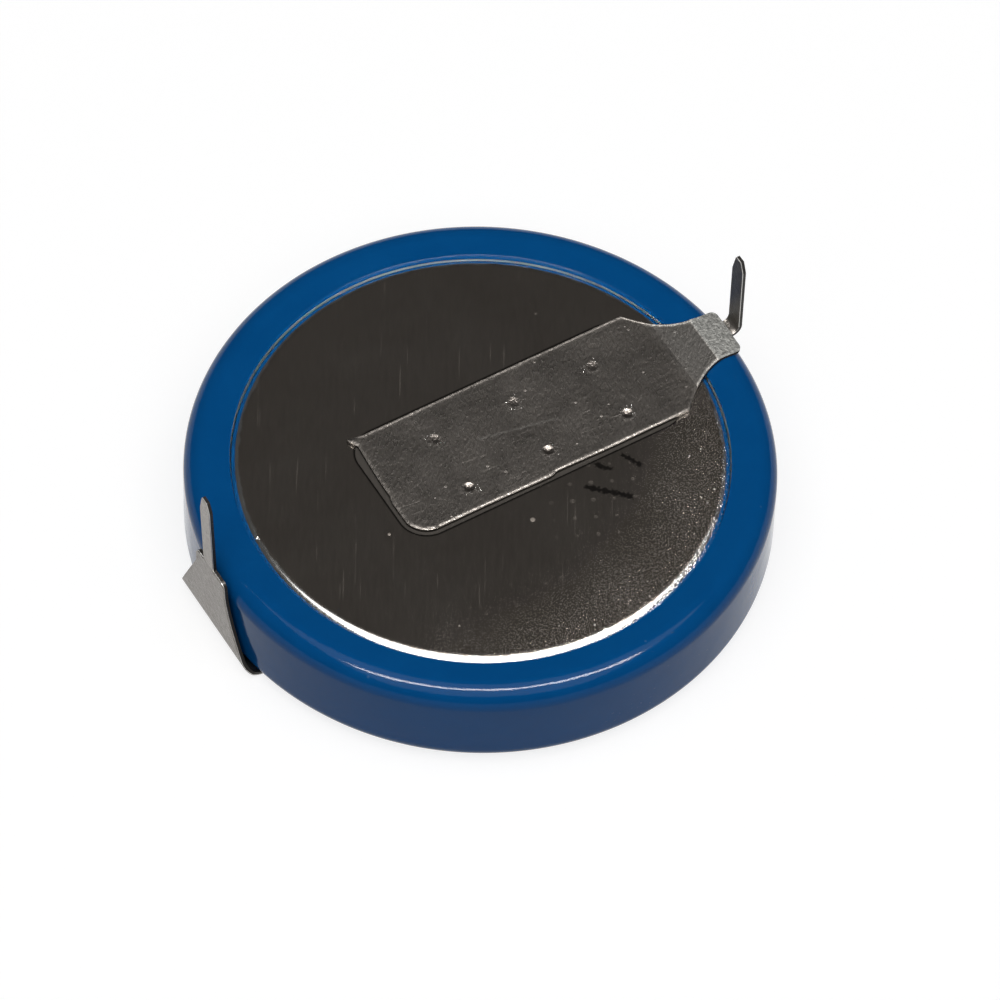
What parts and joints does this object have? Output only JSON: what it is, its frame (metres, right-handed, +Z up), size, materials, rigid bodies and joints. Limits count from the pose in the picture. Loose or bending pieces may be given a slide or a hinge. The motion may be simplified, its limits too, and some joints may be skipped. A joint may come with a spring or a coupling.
{
  "type": "tabbed lithium coin cell",
  "caption": "Round flat lithium cell in a blue insulating sleeve, with welded strap tabs on both poles that end in upright solder pins.",
  "frame": {"origin": "on the cell's axis, in the plane that the part rests on (underside of the positive strap)", "axes": "+Z up along the cell's axis towards the negative cap and the pins' tips, +X along the negative strap to its pin, with the positive plate and pin at -X"},
  "size_m": [0.0213, 0.0206, 0.0079],
  "materials": {
    "steel_can": "bright nickel-plated steel",
    "steel_cap": "smooth dark-reflecting steel with a faint dot lattice",
    "strap_steel": "nickel strip with a fine rolling grain and bright cut edges",
    "blue_film": "glossy blue shrink film",
    "gasket_plastic": "translucent white polypropylene",
    "black_pellet": "pressed black powder",
    "white_felt": "thin nonwoven",
    "lithium_metal": "soft silvery metal"
  },
  "bodies": {
    "root": {"cathode_can": "steel_can", "cathode_ring": "steel_can", "cathode_pellet": "black_pellet", "separator": "white_felt", "lithium_anode": "lithium_metal", "seal_gasket": "gasket_plastic", "anode_cap": "steel_cap", "insulating_sleeve": "blue_film", "negative_tab": "strap_steel", "positive_tab": "strap_steel"}
  },
  "joints": []
}
